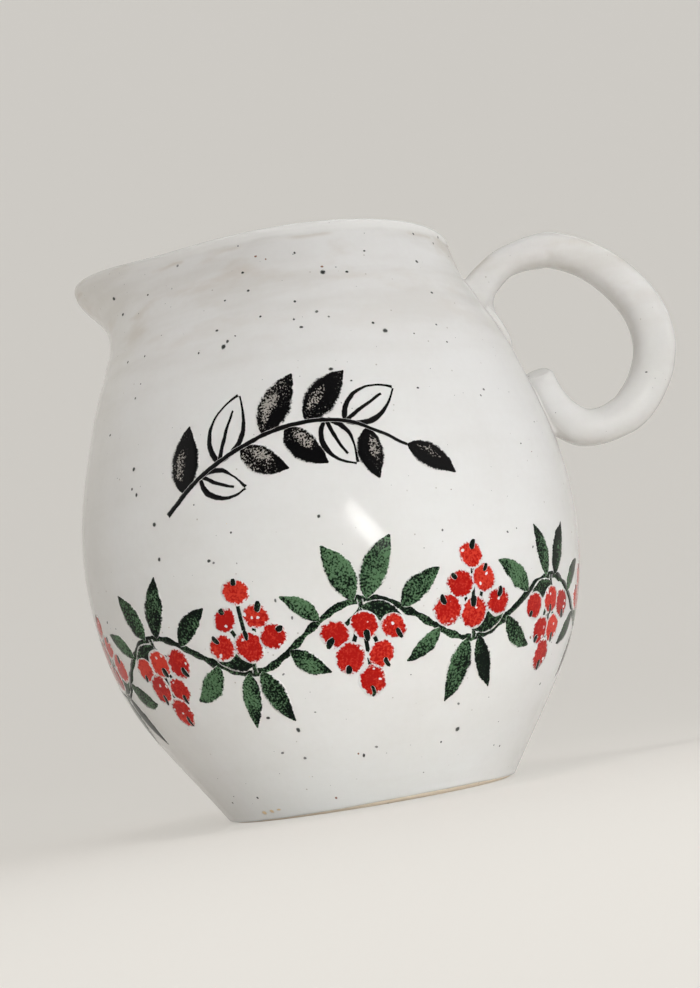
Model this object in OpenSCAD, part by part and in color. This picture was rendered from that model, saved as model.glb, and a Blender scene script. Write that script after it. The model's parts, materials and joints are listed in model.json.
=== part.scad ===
// Small stoneware pitcher: thrown body, beaked spout, coiled loop handle and glaze coats.
// Axis of the body on Z, foot on the plane z = 0, spout towards -X, handle towards +X.

/* [Body] */
// Height of the rim above the table
rim_h = 120; // [100:1:150]
// Radius of the flat foot
foot_r = 31; // [25:0.5:38]
// Radius at the top of the foot taper
taper_r = 49.5; // [41:0.5:60]
// Height of the top of the foot taper
taper_h = 30; // [24:1:38]
// Greatest radius of the belly
belly_r = 54.3; // [45:0.1:66]
// Height of the belly above the table
belly_h = 60; // [50:1:72]
// Radius of the shoulder
shoulder_r = 48; // [40:0.5:58]
// Depth of the shoulder below the rim
shoulder_drop = 30; // [24:1:36]
// Radius of the neck
neck_r = 39; // [32:0.5:47]
// Depth of the neck below the rim
neck_drop = 9; // [7:0.5:12]
// Outer radius of the rim
rim_r = 36.5; // [30:0.5:44]
// Thickness of the thrown wall
wall = 4; // [3:0.1:5]
// Thickness of the rounded rim
rim_t = 3.4; // [2.8:0.1:4.2]
// Thickness of the floor
floor_t = 5; // [4:0.5:7]
// Radius between the floor and the wall inside
floor_fillet = 8; // [5:0.5:10]
// Bevel at the edge of the foot
foot_bevel = 0.8; // [0.5:0.1:1.2]

/* [Spout] */
// Reach of the beak beyond the round rim
spout_out = 10.9; // [8:0.1:14]
// Rise of the beak above the rim
spout_rise = 4; // [2:0.1:6]
// Half angle of the wall that the spout takes up
spout_half_angle = 51; // [40:0.5:62]
// Thickness of the lip at the tip of the beak
tip_t = 2.2; // [1.8:0.1:3.4]
// Depth of the spout below the rim
spout_depth = 22; // [17:0.5:27]
// Sharpness of the beak seen from above
spout_sharp = 1.7; // [1.2:0.1:2.2]
// Sharpness of the rise seen from the side
rise_sharp = 0.6; // [0.5:0.1:1]

/* [Handle] */
// Thickness of the coil at the top of the loop
coil_t = 8; // [6.5:0.1:9.6]
// How much wider than thick the coil is
coil_extra_w = 2.6; // [1:0.1:4]
// Clear reach of the loop, from the wall to the inside of the coil
loop_reach = 29.4; // [24:0.1:36]
// Depth of the coil's press into the wall
coil_press = 0.3; // [0.2:0.1:0.6]
// Depth of the upper joint below the rim
upper_drop = 15.5; // [12.5:0.1:18.6]
// Depth of the lower joint below the rim
lower_drop = 46.5; // [38:0.1:55.8]
// Width of the ring of slip pressed round the coil at each joint
slip_w = 1.4; // [1:0.1:2.5]
// Height of the slip above the wall
slip_h = 3.6; // [3:0.1:5]
// Depth of the middle of the smear of slip below the upper joint
smear_drop = 6.3; // [5:0.1:7.5]
// Half width of the smear
smear_w = 4.6; // [3.5:0.1:6]
// Height of the smear above the wall
smear_h = 1.9; // [1.3:0.1:2.6]

/* [Glaze] */
// Thickness of the glaze coats
glaze_t = 0.4; // [0.3:0.05:0.6]
// Height of the bare clay above the table
bare_h = 1.4; // [1.3:0.1:2.5]

/* [Hidden] */
low_steps = 22;
up_steps = 10;
floor_steps = 4;
rim_steps = 7;
spout_steps = 26;
coil_sides = 16;
coil_steps = 3;
round_fn = 96;
ball_fn = 48;
far = 2*(belly_r + spout_out);
clay = [0.84, 0.73, 0.60];
slip = [0.86, 0.83, 0.79];
coat = [0.90, 0.89, 0.87];
spout_base = rim_h - spout_depth;
rim_mid = rim_h - rim_t/2;

// Stations of the outer wall: height and radius
wall_line = [
    [0, foot_r],
    [taper_h, taper_r],
    [belly_h, belly_r],
    [rim_h - shoulder_drop, shoulder_r],
    [rim_h - neck_drop, neck_r],
    [rim_h, rim_r]
];

// Stations of the coil, as shares of the reach, of the height between the joints and of the
// thickness. The coil springs up from the neck, loops round and ends in a tail turned up the wall.
coil_line = [
    [-0.27, 0.03, 1.10],
    [-0.06, -0.10, 0.92],
    [0.07, -0.18, 0.83],
    [0.26, -0.28, 0.76],
    [0.41, -0.32, 0.79],
    [0.54, -0.33, 0.86],
    [0.66, -0.32, 0.88],
    [0.86, -0.21, 0.92],
    [0.97, -0.01, 1.01],
    [0.99, 0.23, 1.07],
    [0.92, 0.49, 1.09],
    [0.76, 0.73, 1.08],
    [0.55, 0.92, 1.04],
    [0.40, 0.99, 0.98],
    [0.25, 1.02, 0.94],
    [0.11, 1.00, 0.98],
    [0.02, 0.91, 0.96],
    [0.00, 0.80, 0.86],
    [0.00, 0.70, 0.81],
    [0.01, 0.60, 0.78]
];

// Half width of the slip round the joints
slip_r = (coil_t*coil_line[0][2] + coil_extra_w)/2 + slip_w;

// Smooth curve through stations whose first number is the height
function rise_at(line, i) =
    let (a = max(i - 1, 0), b = min(i + 1, len(line) - 1))
    (line[b][1] - line[a][1])/(line[b][0] - line[a][0]);
function span_of(line, z, i = 0) =
    i < len(line) - 2 && z > line[i + 1][0] ? span_of(line, z, i + 1) : i;
function smooth_at(line, z) =
    let (i = span_of(line, z), h = line[i + 1][0] - line[i][0], t = (z - line[i][0])/h)
    (1 + 2*t)*pow(1 - t, 2)*line[i][1] + t*pow(1 - t, 2)*h*rise_at(line, i)
    + t*t*(3 - 2*t)*line[i + 1][1] - t*t*(1 - t)*h*rise_at(line, i + 1);
function wall_r(z) = smooth_at(wall_line, z);

// Sideways copy of a path, on its right as the path runs
function turned(v) = [v[1], -v[0]]/norm(v);
function beside(path, d) = [
    for (i = [0:len(path) - 1])
        path[i] + d*turned(path[min(i + 1, len(path) - 1)] - path[max(i - 1, 0)])
];

// Shape of the beak: its share of the reach and of the rise at an angle from its middle
function beak(angle, sharp) = pow((1 + cos(180*angle/spout_half_angle))/2, sharp);
function lift(s) = (1 - cos(180*s*s))/2;

// Upper wall at an angle from the spout's middle: up the outside, over the rim and down
function upper_z(s, angle) =
    spout_base + s*(rim_mid - spout_base + spout_rise*beak(angle, rise_sharp));
function upper_r(s, angle) =
    wall_r(spout_base + s*(rim_mid - spout_base)) + spout_out*beak(angle, spout_sharp)*lift(s);
function lip_t(angle) = rim_t - (rim_t - tip_t)*beak(angle, spout_sharp);
function upper_wall(s, angle) = wall + s*(lip_t(angle) - wall);
function upper_path(angle) = concat(
    [for (i = [0:up_steps]) [upper_r(i/up_steps, angle), upper_z(i/up_steps, angle)]],
    [for (j = [1:rim_steps - 1])
        [upper_r(1, angle) + lip_t(angle)/2*(cos(180*j/rim_steps) - 1),
         upper_z(1, angle) + lip_t(angle)/2*sin(180*j/rim_steps)]],
    [for (i = [up_steps:-1:0])
        [upper_r(i/up_steps, angle) - upper_wall(i/up_steps, angle), upper_z(i/up_steps, angle)]]
);

// Outline of the round wall, from the foot up and over to the middle of the floor
floor_z = floor_t + floor_fillet;
floor_r = wall_r(floor_z) - wall;
foot_path = concat([[wall_r(foot_bevel), foot_bevel]],
    [for (i = [0:low_steps - 1])
        let (z = bare_h + (spout_base - bare_h)*i/low_steps) [wall_r(z), z]]);
cavity_path = [for (i = [low_steps - 1:-1:0])
    let (z = floor_z + (spout_base - floor_z)*i/low_steps) [wall_r(z) - wall, z]];
floor_path = [for (j = [1:floor_steps])
    [floor_r - floor_fillet*(1 - cos(90*j/floor_steps)),
     floor_z - floor_fillet*sin(90*j/floor_steps)]];
round_path = upper_path(spout_half_angle);
rim_top = up_steps + floor(rim_steps/2);
outside = concat(foot_path, [for (i = [0:rim_top]) round_path[i]]);
inside = concat([for (i = [rim_top + 1:len(round_path) - 1]) round_path[i]], cavity_path, floor_path);

// Solids that several pieces are cut by
module envelope() {
    rotate_extrude($fn = round_fn)
        polygon(concat([[0, 0], [foot_r - foot_bevel, 0]], outside, [[0, rim_h]]));
}

module spout_sector() {
    translate([0, 0, spout_base])
        linear_extrude(spout_depth + far)
            polygon([[0, 0],
                far*[-cos(spout_half_angle), sin(spout_half_angle)],
                [-far, 0],
                far*[-cos(spout_half_angle), -sin(spout_half_angle)]]);
}

// Slip: balls whose caps stand on the wall
module slip_ball(drop, half_w, height) {
    r = (half_w*half_w + height*height)/(2*height);
    translate([wall_r(rim_h - drop) + height - r, 0, rim_h - drop])
        sphere(r, $fn = ball_fn);
}

module upper_slip() {
    slip_ball(upper_drop + slip_w, slip_r, slip_h);
    slip_ball(upper_drop + smear_drop, smear_w, smear_h);
}

module lower_slip() {
    slip_ball(lower_drop, slip_r, slip_h);
}

// Triangles between closed rings of equal count, with the first ring at a given index
function skin(rings, count, first = 0, open = 0) = [
    for (i = [0:rings - 2], j = [0:count - 1 - open], side = [0, 1])
        let (a = first + i*count + j, b = first + i*count + (j + 1)%count)
        side == 0 ? [a, a + count, b] : [b, a + count, b + count]
];
function flipped(faces) = [for (f = faces) [f[2], f[1], f[0]]];
function disc(first, count) = [for (j = [1:count - 2]) [first, first + j, first + j + 1]];
function joined(lists) = [for (l = lists, v = l) v];

// Spout sections stand in planes through the axis
function stood(path, angle) = [for (p = path)
    [-p[0]*cos(angle), p[0]*sin(angle), p[1]]];
function spout_angle(k) = spout_half_angle*(2*k/spout_steps - 1);

// Coil: rings along a smooth line through the stations
function coil_point(i) =
    let (c = coil_line[max(0, min(i, len(coil_line) - 1))],
        z = rim_h - upper_drop - c[1]*(lower_drop - upper_drop),
        t = c[2]*coil_t)
    [wall_r(z) + c[0]*loop_reach + t/2 - coil_press, z, t];
function coil_mix(i, t) =
    let (a = coil_point(i - 1), b = coil_point(i), c = coil_point(i + 1), d = coil_point(i + 2))
    b + t*(c - a)/2 + t*t*(a - 2.5*b + 2*c - d/2) + t*t*t*(1.5*(b - c) + (d - a)/2);
coil_path = concat(
    [for (i = [0:len(coil_line) - 2], k = [0:coil_steps - 1]) coil_mix(i, k/coil_steps)],
    [coil_point(len(coil_line) - 1)]
);
function coil_side(i) =
    let (v = coil_path[min(i + 1, len(coil_path) - 1)] - coil_path[max(i - 1, 0)])
    turned([v[0], v[1]]);
function coil_ring(i, grow) =
    let (c = coil_path[i], n = coil_side(i),
        tip = i == len(coil_path) - 1 ? grow : 0)
    [for (j = [0:coil_sides - 1])
        let (a = 360*j/coil_sides,
            u = (c[2]/2 + grow)*cos(a),
            v = ((c[2] + coil_extra_w)/2 + grow)*sin(a))
        [c[0] + u*n[0] - tip*n[1], v, c[1] + u*n[1] + tip*n[0]]];
function coil_rings(grow) = [for (i = [0:len(coil_path) - 1]) coil_ring(i, grow)];

module coil(grow) {
    last = (len(coil_path) - 1)*coil_sides;
    polyhedron(joined(coil_rings(grow)), concat(
        skin(len(coil_path), coil_sides),
        disc(0, coil_sides),
        flipped(disc(last, coil_sides))));
}

module coil_coat() {
    last = (len(coil_path) - 1)*coil_sides;
    inner = last + coil_sides;
    polyhedron(concat(joined(coil_rings(glaze_t)), joined(coil_rings(0))), concat(
        skin(len(coil_path), coil_sides),
        flipped(disc(last, coil_sides)),
        flipped(skin(len(coil_path), coil_sides, inner)),
        disc(inner + last, coil_sides),
        [for (j = [0:coil_sides - 1], side = [0, 1])
            let (k = (j + 1)%coil_sides)
            side == 0 ? [j, k, inner + j] : [k, inner + k, inner + j]]));
}

// Thrown wall and floor, open where the spout is set in
module thrown_body() {
    color(clay) difference() {
        rotate_extrude($fn = round_fn)
            polygon(concat([[0, 0], [foot_r - foot_bevel, 0]], outside, inside, [[0, floor_t]]));
        spout_sector();
    }
}

// Beak set into the wall and drawn out from the rim
module spout_lip() {
    count = len(round_path);
    half = count/2;
    end = spout_steps*count;
    cap = [for (i = [0:half - 2], side = [0, 1])
        side == 0 ? [i, i + 1, count - 1 - i] : [i + 1, count - 2 - i, count - 1 - i]];
    color(clay) polyhedron(
        joined([for (k = [0:spout_steps]) stood(upper_path(spout_angle(k)), spout_angle(k))]),
        concat(
            skin(spout_steps + 1, count),
            cap,
            [for (f = flipped(cap)) f + [end, end, end]]));
}

// Rolled coil of the handle, from the neck to the upturned tail
module handle_loop() {
    color(clay) difference() {
        coil(0);
        envelope();
    }
}

// Slip pressed round the root of the handle and smeared down the wall
module upper_joint() {
    color(slip) difference() {
        upper_slip();
        envelope();
        coil(0);
    }
}

// Slip pressed round the foot of the handle
module lower_joint() {
    color(slip) difference() {
        lower_slip();
        envelope();
        coil(0);
    }
}

// Outer coat, from above the bare foot to the top of the rim
module body_glaze() {
    coated = [for (i = [1:len(outside) - 1]) outside[i]];
    coat_edge = beside(coated, glaze_t);
    color(coat) difference() {
        rotate_extrude($fn = round_fn)
            polygon(concat(coated, [for (i = [len(coated) - 1:-1:0]) coat_edge[i]]));
        spout_sector();
        coil(glaze_t);
        upper_slip();
        lower_slip();
    }
}

// Inner coat, from the top of the rim to the middle of the floor
module liner_glaze() {
    lined = concat([round_path[rim_top]], inside);
    lining = beside(lined, glaze_t);
    color(coat) difference() {
        rotate_extrude($fn = round_fn)
            polygon(concat([[0, floor_t]], [for (i = [len(lined) - 1:-1:0]) lined[i]], lining,
                [[0, floor_t + glaze_t]]));
        spout_sector();
    }
}

// Coat over the beak, outside, lip and channel
module spout_glaze() {
    count = len(round_path);
    inner = (spout_steps + 1)*count;
    end = spout_steps*count;
    strip = [for (i = [0:count - 2], side = [0, 1])
        side == 0 ? [i, i + 1, inner + i] : [i + 1, inner + i + 1, inner + i]];
    rim_strip = [for (k = [0:spout_steps - 1], side = [0, 1], low = [0, count - 1])
        let (a = k*count + low, b = a + count,
            f = side == 0 ? [a, inner + a, b] : [inner + a, inner + b, b])
        low == 0 ? f : [f[2], f[1], f[0]]];
    color(coat) polyhedron(
        concat(
            joined([for (k = [0:spout_steps])
                stood(beside(upper_path(spout_angle(k)), glaze_t), spout_angle(k))]),
            joined([for (k = [0:spout_steps]) stood(upper_path(spout_angle(k)), spout_angle(k))])),
        concat(
            skin(spout_steps + 1, count, 0, 1),
            flipped(skin(spout_steps + 1, count, inner, 1)),
            strip,
            [for (f = flipped(strip)) f + [end, end, end]],
            rim_strip));
}

// Coat over the coil
module handle_glaze() {
    color(coat) difference() {
        coil_coat();
        envelope();
        upper_slip();
        lower_slip();
    }
}

thrown_body();
spout_lip();
handle_loop();
upper_joint();
lower_joint();
body_glaze();
liner_glaze();
spout_glaze();
handle_glaze();
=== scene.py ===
import json
import math
import random

import bmesh
import bpy
import numpy as np
from mathutils import Matrix, Vector, noise

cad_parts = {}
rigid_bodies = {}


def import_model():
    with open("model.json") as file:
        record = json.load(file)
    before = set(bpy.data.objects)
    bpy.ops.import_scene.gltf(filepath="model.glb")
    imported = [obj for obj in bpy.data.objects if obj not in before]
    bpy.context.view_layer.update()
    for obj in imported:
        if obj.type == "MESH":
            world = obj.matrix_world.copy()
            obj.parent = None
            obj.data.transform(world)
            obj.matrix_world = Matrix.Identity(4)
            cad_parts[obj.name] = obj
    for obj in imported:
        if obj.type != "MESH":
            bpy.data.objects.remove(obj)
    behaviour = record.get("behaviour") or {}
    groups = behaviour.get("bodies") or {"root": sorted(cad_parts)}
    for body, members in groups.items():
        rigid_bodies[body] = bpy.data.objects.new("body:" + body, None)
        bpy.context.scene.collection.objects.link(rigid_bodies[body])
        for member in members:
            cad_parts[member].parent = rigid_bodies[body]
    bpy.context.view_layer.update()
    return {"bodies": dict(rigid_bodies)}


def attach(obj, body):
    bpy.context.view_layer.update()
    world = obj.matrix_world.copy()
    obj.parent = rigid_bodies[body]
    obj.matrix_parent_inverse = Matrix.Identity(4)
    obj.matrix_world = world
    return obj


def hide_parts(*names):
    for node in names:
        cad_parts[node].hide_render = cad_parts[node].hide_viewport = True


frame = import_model()
scene = bpy.context.scene
scene.view_settings.view_transform = "Standard"
mm = 0.001
bodyName = next(iter(frame["bodies"]))  # the pitcher is one rigid body


# Node trees

class Wire:  # a node socket that adds a Math node each time it is used in a sum
    def __init__(self, tree, socket):
        self.tree = tree
        self.socket = socket

    def math(self, operation, *others):
        made = self.tree.nodes.new("ShaderNodeMath")
        made.operation = operation
        for target, value in zip(made.inputs, (self, *others)):
            feed(self.tree, target, value)
        return Wire(self.tree, made.outputs[0])

    def __add__(self, other):
        return self.math("ADD", other)

    def __sub__(self, other):
        return self.math("SUBTRACT", other)

    def __mul__(self, other):
        return self.math("MULTIPLY", other)

    def __truediv__(self, other):
        return self.math("DIVIDE", other)

    def __pow__(self, other):
        return self.math("POWER", other)

    def rest(self):  # what is left of 1
        return self * -1 + 1

    def ramp(self, low, high, start=0.0, stop=1.0):  # smooth step from one value to another
        return wire(self.tree, "ShaderNodeMapRange", {
            "Value": self, "From Min": low, "From Max": high, "To Min": start, "To Max": stop,
        }, interpolation_type="SMOOTHSTEP")


def feed(tree, target, value):  # links a socket, or sets a plain value
    if isinstance(value, Wire):
        tree.links.new(value.socket, target)
    else:
        target.default_value = value


def pick(sockets, name):
    return next(s for s in sockets if s.name == name and s.enabled)


def put(tree, kind, inputs=None, **settings):
    made = tree.nodes.new(kind)
    for name, value in settings.items():
        setattr(made, name, value)
    for name, value in (inputs or {}).items():
        feed(tree, pick(made.inputs, name), value)
    return made


def outputOf(tree, node, name):
    return Wire(tree, pick(node.outputs, name))


def wire(tree, kind, inputs=None, output=None, **settings):  # a new node's named output, or its first
    made = put(tree, kind, inputs, **settings)
    name = output or next(s.name for s in made.outputs if s.enabled)
    return outputOf(tree, made, name)


def newTree(name, kind, inputs, outputs):  # inputs and outputs are names, listed by their type
    tree = bpy.data.node_groups.new(name, kind)
    for side, types in (("INPUT", inputs), ("OUTPUT", outputs)):
        for socketType, names in types.items():
            for socketName in names:
                tree.interface.new_socket(socketName, in_out=side, socket_type="NodeSocket" + socketType)
    given = tree.nodes.new("NodeGroupInput")
    end = tree.nodes.new("NodeGroupOutput")
    return tree, {s.name: Wire(tree, s) for s in given.outputs if s.name}, end


def keyOf(socketName):  # the socket "Cloud Scale" takes the setting cloudScale
    words = socketName.replace(" ", "")
    return words[0].lower() + words[1:]


def axes(tree, vector):
    made = put(tree, "ShaderNodeSeparateXYZ", {"Vector": vector})
    return [Wire(tree, s) for s in made.outputs]


def vector(tree, x, y, z):
    return wire(tree, "ShaderNodeCombineXYZ", {"X": x, "Y": y, "Z": z})


def shifted(tree, operation, first, second):
    made = put(tree, "ShaderNodeVectorMath", operation=operation)
    feed(tree, made.inputs[0], first)
    feed(tree, pick(made.inputs, "Scale") if operation == "SCALE" else made.inputs[1], second)
    return Wire(tree, made.outputs["Vector"])


def cloud(tree, place, scale, detail=2.0, output="Fac"):
    inputs = {"Vector": place, "Scale": scale, "Detail": detail}
    return wire(tree, "ShaderNodeTexNoise", inputs, output)


def joined(tree, *parts):
    made = tree.nodes.new("GeometryNodeJoinGeometry")
    for part in parts:
        tree.links.new(part.socket, made.inputs[0])
    return Wire(tree, made.outputs[0])


def finished(tree, end, geometry, finish):  # how every tree ends
    real = wire(tree, "GeometryNodeRealizeInstances", {"Geometry": geometry})
    coated = wire(tree, "GeometryNodeSetMaterial", {"Geometry": real, "Material": finish})
    feed(tree, end.inputs[0], coated)


def named(tree, name):
    return wire(tree, "GeometryNodeInputNamedAttribute", {"Name": name}, data_type="FLOAT")


def shapeOf(tree, carrier):
    return wire(tree, "GeometryNodeObjectInfo", {"Object": carrier}, "Geometry")


def newObject(name, data):
    made = bpy.data.objects.new(name, data)
    scene.collection.objects.link(made)
    return made


def grow(name, seedMesh, tree, values):  # runs a tree on a seed mesh and keeps the plain result
    piece = newObject(name, seedMesh)
    nodes = piece.modifiers.new(tree.name, "NODES")
    nodes.node_group = tree
    for socket in tree.interface.items_tree:
        if socket.in_out == "INPUT" and keyOf(socket.name) in values:
            nodes[socket.identifier] = values[keyOf(socket.name)]
    depsgraph = bpy.context.evaluated_depsgraph_get()
    made = bpy.data.meshes.new_from_object(
        piece.evaluated_get(depsgraph), preserve_all_data_layers=True, depsgraph=depsgraph)
    piece.modifiers.remove(nodes)
    piece.data = made
    made.name = name
    print("made", name, "with", len(made.polygons), "faces")
    return piece


# Finishes

def blend(tree, share, first, second):
    return wire(tree, "ShaderNodeMix", {"Factor": share, "A": first, "B": second}, data_type="RGBA")


def placeGroup(tree, group, values):  # a shared effect with its values for one finish
    made = put(tree, "ShaderNodeGroup", node_tree=group)
    for socket in made.inputs:
        feed(tree, socket, values[keyOf(socket.name)])
    return made


def spots(tree, place, scale, edge, share, ragged=None):  # small round spots in a share of the cells
    cells = put(tree, "ShaderNodeTexVoronoi", {"Vector": place, "Scale": scale})
    far = outputOf(tree, cells, "Distance")
    if ragged:
        far = far + ragged
    return far.ramp(*edge, 1.0, 0.0) * outputOf(tree, cells, "Color").ramp(*share)


def mark(tree, name):  # a value that the mesh carries
    return wire(tree, "ShaderNodeAttribute", output="Fac", attribute_name=name)


glazeLook = {
    "pale": (0.792, 0.781, 0.762, 1.0),
    "shade": (0.712, 0.691, 0.658, 1.0),
    "warm": (0.640, 0.585, 0.520, 1.0),
    "fleck": (0.26, 0.20, 0.14, 1.0),
    "cloudScale": 34.0,     # per metre
    "streakScale": 170.0,   # clouds drawn out round the wall by the throwing
    "streakStart": 0.080,   # height where the streaks begin to show, in metres
    "fleckScale": 430.0,
    "bumpDepth": 0.00005,
    "ior": 1.42,
    "gloss": 0.5,
}


def glazeCoatGroup():
    tree, given, end = newTree(
        "glazeCoat", "ShaderNodeTree",
        {"Vector": ["Place"], "Color": ["Pale", "Shade", "Warm", "Fleck"],
         "Float": ["Cloud Scale", "Streak Scale", "Streak Start", "Fleck Scale"]},
        {"Color": ["Colour"], "Float": ["Roughness", "Height"]})
    place, scale = given["Place"], given["Cloud Scale"]
    x, y, z = axes(tree, place)
    up = z - given["Streak Start"]
    soft = cloud(tree, place, scale, 3.0)
    fine = cloud(tree, place, scale * 22, 2.0)
    drawn = cloud(tree, vector(tree, x * 0.16, y * 0.16, z), given["Streak Scale"], 3.0)
    streak = drawn.ramp(0.44, 0.72) * (up.ramp(0.0, 0.03) * 0.75 + 0.15)
    thin = soft.ramp(0.34, 0.74) * 0.55 + streak + (fine - 0.5) * 0.35
    tone = blend(tree, thin.math("MAXIMUM", 0.0).math("MINIMUM", 1.0), given["Pale"], given["Shade"])
    blotch = cloud(tree, vector(tree, x * 0.5, y * 0.5, z * 1.3), scale * 3.6, 4.0).ramp(0.50, 0.72)
    tone = blend(tree, blotch * up.ramp(0.006, 0.036) * 0.72, tone, given["Warm"])
    flecks = spots(tree, place, given["Fleck Scale"], (0.05, 0.10), (0.66, 0.80))
    feed(tree, end.inputs["Colour"], blend(tree, flecks * 0.5, tone, given["Fleck"]))
    feed(tree, end.inputs["Roughness"], soft * 0.07 + fine * 0.03 + 0.018)
    swell = cloud(tree, place, scale * 1.6, 1.0)
    peel = cloud(tree, place, scale * 7, 1.0)
    feed(tree, end.inputs["Height"], swell + peel * 0.25)
    return tree


def grainWashGroup():  # a watery brush load that breaks into grain where it is thin, with a ragged edge
    tree, given, end = newTree(
        "grainWash", "ShaderNodeTree",
        {"Vector": ["Place"], "Color": ["Deep", "Thin"],
         "Float": ["Load", "Edge", "Grain Scale", "Softness", "Ragged"]},
        {"Color": ["Colour"], "Float": ["Cover"]})
    grit = cloud(tree, given["Place"], given["Grain Scale"], 2.0).ramp(0.30, 0.70)
    depth = given["Load"] + grit - 1
    soft = given["Softness"]
    colour = blend(tree, depth.ramp(soft * -1, soft), given["Thin"], given["Deep"])
    feed(tree, end.inputs["Colour"], colour)
    wander = cloud(tree, given["Place"], given["Grain Scale"] * 0.3, 3.0) - 0.5
    inside = given["Edge"].rest() + (wander * 1.6 + (grit - 0.5) * 0.5 - 0.2) * given["Ragged"]
    feed(tree, end.inputs["Cover"], inside.ramp(0.0, 0.14))
    return tree


glazeCoat = glazeCoatGroup()
grainWash = grainWashGroup()


def newFinish(name):
    material = bpy.data.materials.new(name)
    material.use_nodes = True
    tree = material.node_tree
    shader = next(n for n in tree.nodes if n.type == "BSDF_PRINCIPLED")
    place = wire(tree, "ShaderNodeTexCoord", output="Object")
    return material, tree, shader, place


def coverWith(tree, shader, colour, roughness, height, depth):
    feed(tree, shader.inputs["Base Color"], colour)
    feed(tree, shader.inputs["Roughness"], roughness)
    bump = put(tree, "ShaderNodeBump", {"Strength": 1.0, "Distance": depth, "Height": height})
    feed(tree, shader.inputs["Normal"], outputOf(tree, bump, "Normal"))


def layGlaze(tree, shader, place, paint, cover, look):  # the coat, with paint in it where there is some
    coat = placeGroup(tree, glazeCoat, {**glazeLook, "place": place})
    colour, roughness, height = (outputOf(tree, coat, key) for key in ("Colour", "Roughness", "Height"))
    coverWith(tree, shader, blend(tree, cover, colour, paint), roughness, height, glazeLook["bumpDepth"])
    shader.inputs["IOR"].default_value = glazeLook["ior"]
    shader.inputs["Specular IOR Level"].default_value = look["gloss"]


rimHighlightAndLine = {
    # pale is the colour of the painted highlight along the rim, line the faint warm line under it
    "pale": (0.880, 0.868, 0.845, 1.0),
    "line": (0.600, 0.545, 0.475, 1.0),
    "reach": 10.0,          # mm below the rim that its mark runs down the wall
    "band": 2.5,            # mm, where the paler band, a painted highlight along the rim, ends and a faint warm line begins
    "lineWidth": 1.7,
    "beakFade": (-0.032, -0.004, 0.15, 0.85),  # along x, and how strong the painted highlight band is at both ends
}


def glazeFinish():
    material, tree, shader, place = newFinish("whiteGlaze")
    below = mark(tree, "rimNear").rest() * rimHighlightAndLine["reach"] + (cloud(tree, place, 150.0, 3.0) - 0.5) * 1.3
    end = rimHighlightAndLine["band"]
    # band: a paler strip painted under the rim as a highlight, weaker towards the beak
    band = below.ramp(end - 0.6, end + 0.3, 1.0, 0.0) * axes(tree, place)[0].ramp(*rimHighlightAndLine["beakFade"])
    line = below.ramp(end - 0.2, end + 0.5) * below.ramp(end + 0.6, end + rimHighlightAndLine["lineWidth"], 1.0, 0.0)
    line = line * cloud(tree, place, 85.0, 2.0).ramp(0.40, 0.60)  # patchy
    tone = blend(tree, line, rimHighlightAndLine["pale"], rimHighlightAndLine["line"])
    layGlaze(tree, shader, place, tone, band.math("MAXIMUM", line * 0.5), glazeLook)
    return material


def strokePlace(tree):  # along and across a brush stroke, both from 0 to 1, and the stroke's own tint
    along, across, _ = axes(tree, wire(tree, "ShaderNodeUVMap", uv_map="stroke"))
    return along, across, mark(tree, "tint")


def fromMiddle(across, up):  # 0 in the middle of a round dab, 1 at its edge
    x, y = across * 2 - 1, up * 2 - 1
    return (x * x + y * y).math("SQRT")


def fromLine(across):  # 0 along the middle of a stroke, 1 at its sides
    return (across * 2 - 1).math("ABSOLUTE")


def patches(tree, place, look):
    return cloud(tree, place, look["patchScale"], 3.0) - 0.5


def washed(tree, place, load, edge, look):
    group = placeGroup(tree, grainWash, {**look, "place": place, "load": load, "edge": edge})
    return outputOf(tree, group, "Colour"), outputOf(tree, group, "Cover")


leafLook = {
    "deep": (0.0030, 0.0070, 0.0045, 1.0),
    "thin": (0.095, 0.185, 0.092, 1.0),
    "patchScale": 190.0,
    "grainScale": 2500.0,
    "softness": 0.42,
    "ragged": 0.22,
    "gloss": 0.10,
}


def leafFinish():
    material, tree, shader, place = newFinish("leafPaint")
    along, across, tint = strokePlace(tree)
    load = patches(tree, place, leafLook) * 1.7 + (tint - 0.5) * 0.8 + (across - 0.5) * 0.4
    load = load + along.ramp(0.55, 1.0, 0.0, 0.25) + 0.68
    layGlaze(tree, shader, place, *washed(tree, place, load, fromLine(across), leafLook), leafLook)
    return material


berryLook = {
    "deep": (0.400, 0.0040, 0.0018, 1.0),
    "thin": (0.630, 0.0360, 0.0170, 1.0),
    "patchScale": 240.0,
    "grainScale": 2200.0,
    "softness": 0.55,
    "ragged": 0.28,
    "gapScale": 620.0,      # small places that the brush missed
    "gloss": 0.20,
}


def berryFinish():
    material, tree, shader, place = newFinish("berryPaint")
    across, up, tint = strokePlace(tree)
    load = patches(tree, place, berryLook) * 1.8 + (tint - 0.5) * 1.1 + 0.62
    paint, cover = washed(tree, place, load, fromMiddle(across, up), berryLook)
    ragged = (cloud(tree, place, berryLook["gapScale"] * 2.4, 2.0) - 0.5) * 0.5
    gaps = spots(tree, place, berryLook["gapScale"], (0.17, 0.24), (0.53, 0.56), ragged)
    layGlaze(tree, shader, place, paint, cover * gaps.rest(), berryLook)
    return material


inkLook = {
    "deep": (0.0030, 0.0030, 0.0034, 1.0),
    "thin": (0.360, 0.335, 0.305, 1.0),
    "patchScale": 105.0,
    "grainScale": 2700.0,
    "softness": 0.17,
    "ragged": 0.18,
    "line": 0.85,           # strokes with more tint than this are plain lines
    "gloss": 0.22,
}


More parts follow.
